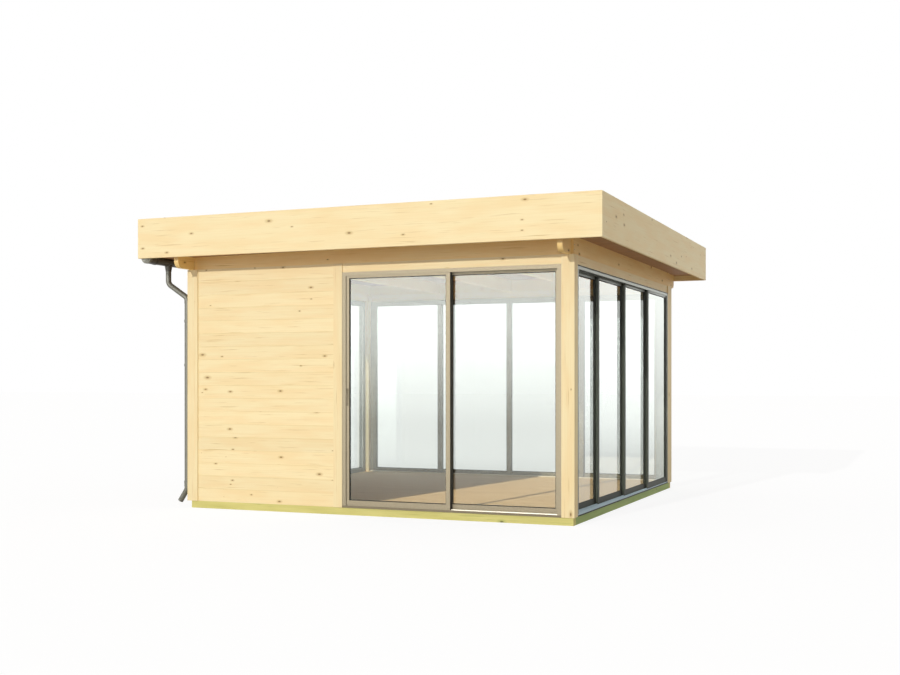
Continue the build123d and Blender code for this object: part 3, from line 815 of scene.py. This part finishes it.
# %% [markdown]
# ## Brush seals between the leaves
# Where one leaf passes behind the next, a strip of black brush closes the slit between them. Single hairs
# would not show, so it is a slim bar with eased edges on the face of one leaf, clear of the next one, and
# the leaves still slide freely. The door's outer leaf has a second black strip on its closing edge, which is
# painted shade for the shaded side face of that edge.

# %% Brush seals
brush_end, brush_near, brush_far, brush_deep = 0.008, 0.018, 0.03, 0.005


def brush(leaf, low, high, ease=0.0008, kind="brush"):
    """A brush strip on a leaf, between two corners."""
    strip = bar(f"{leaf}_{kind}", low, high)
    eased(strip, ease)
    dress(strip, rubber, leaf)


low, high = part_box("front_leaf_1_frame")
foot_z, top_z = low.z + brush_end, high.z - brush_end
brush("front_leaf_1", (high.x - 0.03, high.y, foot_z), (high.x - 0.002, high.y + 0.007, top_z))
# Painted shade: a black strip on the closing edge, whose side face lies in shade.
brush("front_leaf_1", (high.x, low.y + 0.002, foot_z), (high.x + 0.002, high.y, top_z), 0.0006, "edge")
for number in (2, 3, 4):
    leaf = f"right_leaf_{number}"
    low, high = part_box(leaf + "_frame")
    brush(leaf, (low.x - brush_deep, low.y + brush_near, low.z + brush_end),
          (low.x, low.y + brush_far, high.z - brush_end))
for number in (1, 2, 3):
    leaf = f"rear_leaf_{number}"
    low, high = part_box(leaf + "_frame")
    brush(leaf, (low.x + brush_near, low.y - brush_deep, low.z + brush_end),
          (low.x + brush_far, low.y, high.z - brush_end))

# %% [markdown]
# ## Running strips
# Each rib of a sill is capped with a metal strip that the leaf runs over. In the photo the outer one shines
# under the inner leaf of the door. A folded strip could be a bent sheet, but only its outside shows. So
# each is a slim bar with its two upper edges bevelled, set on the line of its pane.

# %% Running strips
rib_foot, rib_top, rib_half, rib_end = 0.0735, 0.0896, 0.0026, 0.04


def rib_strip(low, high, run):
    """A cap over one rib, with its two upper edges along the run bevelled."""
    strip = bar("rib", low, high)
    choose(strip, "EDGE", lambda spot, way: way[run] > 0.9 and spot.z > high[2] - 0.001)
    bpy.ops.mesh.bevel(offset=0.0012, segments=2)
    return strip


for wall, count, depth in WALLS:
    run = 1 - depth
    low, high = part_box(f"{wall}_sill_track")
    strips = []
    for number in range(1, count + 1):
        pane_low, pane_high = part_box(f"{wall}_leaf_{number}_glass")
        middle = (pane_low[depth] + pane_high[depth]) / 2
        strip_low, strip_high = [0, 0, rib_foot], [0, 0, rib_top]
        strip_low[depth], strip_high[depth] = middle - rib_half, middle + rib_half
        strip_low[run], strip_high[run] = low[run] + rib_end, high[run] - rib_end
        strips.append(rib_strip(strip_low, strip_high, run))
    # Painted light: the right strips take the lighter, bluish satin copy.
    dress(joined(f"{wall}_running_strips", strips), pale if wall == "right" else bright, "cabin")

# %% [markdown]
# ## Top strips
# The dark leaves on the right have a light cover strip along their top rail. It could be a stripe of paint,
# but it catches its own light. So it is a thin plate with eased edges between the stiles.

# %% Top strips
stile, strip_low_edge, strip_high_edge, strip_thick = 0.046, 0.036, 0.001, 0.0006
for number in range(1, 5):
    low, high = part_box(f"right_leaf_{number}_frame")
    strip = bar(f"right_top_strip_{number}", (high.x, low.y + stile, high.z - strip_low_edge),
                (high.x + strip_thick, high.y - stile, high.z - strip_high_edge))
    eased(strip, 0.0003)
    dress(strip, satin, f"right_leaf_{number}")

# %% [markdown]
# ## Perimeter seals
# A dark seal closes the joint between each four-track frame and the timber above and below it, and draws a
# thin line along the head and the sill on the right. Along the head the line is also painted shade, for the
# shadow under the timber above. A painted line would fade at an angle. So it is a slim bar with eased
# edges on the outer face of the track, a millimetre proud.

# %% Perimeter seals
head_line, sill_line, line_thick = 0.009, 0.011, 0.001
for wall, depth in (("right", 0), ("rear", 1)):
    lines = []
    for track in ("head", "sill"):
        low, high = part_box(f"{wall}_{track}_track")
        line_low, line_high = low.copy(), high.copy()
        line_low[depth], line_high[depth] = high[depth], high[depth] + line_thick
        # Painted shade: along the head the dark line also stands for the shadow under the timber above.
        if track == "head":
            line_low.z = high.z - head_line
        else:
            line_high.z = low.z + sill_line
        lines.append(bar("line", line_low, line_high))
        eased(lines[-1], 0.0004)
    dress(joined(f"{wall}_frame_seal", lines), rubber, "cabin")

# %% [markdown]
# ## Flush pull
# The front leaf is pulled by a shallow plate let into its stile. A hole in the stile would change the
# solid. So the pull is a thin bar with rounded corners whose face is inset and pushed back, and the same
# plate sits on the inner face, turned to the room by pushing the other face back. Its darker bronze is
# painted shade, for the shade in the recess.

# %% Flush pull
plate_thick, plate_rim, plate_dip = 0.002, 0.003, 0.0014
plate_near, plate_far, plate_foot, plate_top = 0.01, 0.03, 0.95, 1.1
low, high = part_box("front_leaf_1_frame")
for side, face, outward in (("outer", low.y, -1), ("inner", high.y, 1)):
    near, far = sorted((face, face + outward * plate_thick))
    pull = bar(f"flush_pull_{side}", (low.x + plate_near, near, plate_foot),
               (low.x + plate_far, far, plate_top))
    choose(pull, "FACE", lambda spot, way: way.y * outward > 0.9)
    bpy.ops.mesh.inset(thickness=plate_rim)
    bpy.ops.transform.translate(value=(0, -outward * plate_dip, 0))
    choose(pull, "EDGE", lambda spot, way: way.y > 0.9)
    bpy.ops.mesh.bevel(offset=0.004, segments=4)
    # Painted shade: the darker bronze copy for the recess.
    dress(pull, bronze_painted_shade, "front_leaf_1")

# %% [markdown]
# ## Gutter caps
# The ends of the half-round gutter are closed by pressed caps that lap over its outside. A flat disc would
# look cut out. So a cap is a short round bar cut at the rim with bisect, and its outer face is inset and
# pushed in.

# %% Gutter caps
gutter_low, gutter_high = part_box("gutter")
gutter_rim = gutter_high.z
gutter_radius = 0.05
gutter_x = gutter_low.x + gutter_radius
lying = (math.pi / 2, 0, 0)
cap_back, cap_rim, cap_dip = 0.008, 0.005, 0.002
for end, side in (("front", -1), ("rear", 1)):
    face = gutter_high.y * side
    cap = round_bar(f"gutter_cap_{end}", (gutter_x, face - side * cap_back, gutter_rim),
                    radius=0.0515, length=0.028, sides=64, turn=lying)
    choose(cap, "FACE", lambda spot, way: True)
    bpy.ops.mesh.bisect(plane_co=(gutter_x, 0, gutter_rim), plane_no=(0, 0, 1), use_fill=True,
                        clear_outer=True)
    choose(cap, "FACE", lambda spot, way: way.y * side > 0.9)
    bpy.ops.mesh.inset(thickness=cap_rim)
    bpy.ops.transform.translate(value=(0, -side * cap_dip, 0))
    dress(cap, zinc, "cabin")

# %% [markdown]
# ## Gutter outlet
# Over the pipe a funnel hangs under the gutter and lets the water out. A plain cone would stand off the
# round gutter. So its top is cut with a round bar of nearly the gutter's own size, and it hugs the gutter.

# %% Gutter outlet
pipe_x, pipe_y, outlet_drop = -1.883, -1.805, 0.062
nothing()
bpy.ops.mesh.primitive_cone_add(vertices=48, radius1=0.0258, radius2=0.038, depth=0.07,
                                location=(gutter_x, pipe_y, gutter_rim - outlet_drop))
outlet = bpy.context.object
outlet.name = "gutter_outlet"
bpy.ops.object.transform_apply(location=True, rotation=True, scale=True)
trough = round_bar("trough", (gutter_x, pipe_y, gutter_rim), radius=0.0497, length=0.2, sides=96, turn=lying)
sawn(outlet, trough)
# Painted shade: the outlet takes the dark brown steel copy, like the gutter.
dress(outlet, gutter_steel_painted_shade, "cabin")

# %% [markdown]
# ## Pipe collars
# The pipe has a collar at each joint, where one length slides into the next. It could be a swollen part of
# the pipe, but the pipe is a solid that stays as it is. So each collar is a ring round it: both ends of a
# short round bar are inset, and the two insets are bridged into a hole.

# %% Pipe collars
collars = []
for joint_level in (0.205, 1.9):
    collar = round_bar("collar", (pipe_x, pipe_y, joint_level), radius=0.0272, length=0.034, sides=48)
    choose(collar, "FACE", lambda spot, way: abs(way.z) > 0.9)
    bpy.ops.mesh.inset(thickness=0.0019)
    bpy.ops.mesh.bridge_edge_loops()
    collars.append(collar)
dress(joined("pipe_collars", collars), zinc, "cabin")

# %% [markdown]
# ## Laps and turn-ups of the roof
# The roof lies behind the fascia like a shallow tray. The sheet is laid in widths that lap, and turns up
# against the fascia on three sides. Lines in the finish would not catch the light, so each lap and turn-up
# is a thin bar, and a lap's four long edges are bevelled. All of it follows the fall, so each bar that runs
# with it has its right end lifted, as the boards had.

# %% Laps and turn-ups of the roof
sheet_low, sheet_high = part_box("roof_membrane")
sheet_thick = 0.003
sheet_top, sheet_right = sheet_low.z + sheet_thick, sheet_high.z
lap_step, lap_half, lap_thick = 1.0735, 0.04, 0.003
lap_left, lap_right = 0.03, 2.14
tray, turn_thick, turn_height = 2.1465, 0.004, 0.12
laps, turn_ups = [], []
for number in (-1, 0, 1):
    middle = lap_step * number
    lap = bar("lap", (sheet_low.x + lap_left, middle - lap_half, sheet_top),
              (lap_right, middle + lap_half, sheet_top + lap_thick))
    laps.append(with_fall(lap))
    choose(lap, "EDGE", lambda spot, way: way.x > 0.9)
    bpy.ops.mesh.bevel(offset=0.002, segments=1)
inner = tray - turn_thick
for side in (-1, 1):
    near, far = sorted((side * inner, side * tray))
    turn_up = bar("turn_up", (sheet_low.x, near, sheet_top), (tray, far, sheet_top + turn_height))
    turn_ups.append(with_fall(turn_up))
turn_ups.append(bar("turn_up", (inner, -inner, sheet_right), (tray, inner, sheet_right + turn_height)))
for turn_up in turn_ups:
    eased(turn_up, 0.0015)
dress(joined("roof_laps", laps + turn_ups), roofing, "cabin")

# %% [markdown]
# ## Edge metal of the roof
# A metal strip clamps each turn-up to the fascia, and on the fourth side the sheet drips into the gutter
# over a metal edge. The strips are bars with eased edges. The drip edge is a flat bar whose outer face is
# extruded twice, out and down, as sheet metal is folded.

# %% Edge metal of the roof
clamp_foot, clamp_top, clamp_face = 0.09, 0.115, 2.1395
drip_half, drip_back, drip_out, drip_thick, drip_fold = 2.14, 0.05, 0.002, 0.0015, 0.03
strips = []
for side in (-1, 1):
    near, far = sorted((side * clamp_face, side * inner))
    strips.append(with_fall(bar("clamp", (sheet_low.x, near, sheet_top + clamp_foot),
                                (clamp_face, far, sheet_top + clamp_top))))
strips.append(bar("clamp", (clamp_face, -clamp_face, sheet_right + clamp_foot),
                  (inner, clamp_face, sheet_right + clamp_top)))
for clamp in strips:
    eased(clamp, 0.001)
drip = bar("drip", (sheet_low.x - drip_out, -drip_half, sheet_top),
           (sheet_low.x + drip_back, drip_half, sheet_top + drip_thick))
choose(drip, "FACE", lambda spot, way: way.x < -0.9)
bpy.ops.mesh.extrude_region_move(TRANSFORM_OT_translate={"value": (-drip_thick, 0, 0)})
choose(drip, "FACE", lambda spot, way: way.z < -0.9 and spot.x < sheet_low.x - drip_out)
bpy.ops.mesh.extrude_region_move(TRANSFORM_OT_translate={"value": (0, 0, -drip_fold)})
strips.append(drip)
dress(joined("roof_edge_metal", strips), satin, "cabin")

# %% [markdown]
# ## Screw head
# A pan-headed screw is 8 mm across, with a recess for the driver. A plain disc would read as a dot of
# paint. So a low round bar is inset twice, and the inner face is pressed in.

# %% Screw head
screw_radius, screw_ring = 0.004, 0.0012


def screw(place, way):
    """A screw whose head looks along the way."""
    way = Vector(way)
    turn = way.to_track_quat("Z", "Y").to_euler()
    head = round_bar("screw", place, radius=screw_radius, length=0.0024, sides=12, turn=turn)
    choose(head, "FACE", lambda spot, normal: normal.dot(way) > 0.9)
    bpy.ops.mesh.inset(thickness=screw_ring)
    bpy.ops.mesh.inset(thickness=screw_ring)
    bpy.ops.transform.translate(value=way * -screw_ring)
    return head


print("a screw head is", 2 * screw_radius, "m across")

# %% [markdown]
# ## Screws
# Two screws hold each end of each side board, and a row of them holds each clamping strip. Scattering them
# by a particle system would need one too. So one screw of each row is modelled in its place and copied
# along the row, up the fall on the two strips that run with it.

# %% Screws
board_face, rear_end, front_end, lower, upper = 1.8405, 1.765, -1.815, 2.225, 2.265
heads = []
for side in (-1, 1):
    board_screw = screw((side * board_face, rear_end, lower), (side, 0, 0))
    for along, up in ((rear_end, upper), (front_end, lower), (front_end, upper)):
        heads.append(twin(board_screw, "screw", (0, along - rear_end, up - lower)))
    heads.append(board_screw)
row_start, row_step, row_face, row_level, row_steps = -2.0, 0.4, 2.139, 0.1025, range(1, 11)
start_lift, step_lift = deck_rise * 0.02, deck_rise * 0.0946
right_screw = screw((row_face, row_start, sheet_right + row_level), (-1, 0, 0))
heads += [twin(right_screw, "screw", (0, row_step * step, 0)) for step in row_steps]
heads.append(right_screw)
for side in (-1, 1):
    strip_screw = screw((row_start, side * row_face, sheet_top + row_level + start_lift), (0, -side, 0))
    heads += [twin(strip_screw, "screw", (row_step * step, 0, step_lift * step)) for step in row_steps]
    heads.append(strip_screw)
dress(joined("screws", heads), steel, "cabin")

# %% [markdown]
# ## Sizes
# The dressed cabin stays inside the box of its solids. The box round all that is shown is written down.

# %% Sizes
low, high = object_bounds()
print("visual box", [round(size, 4) for size in high - low])
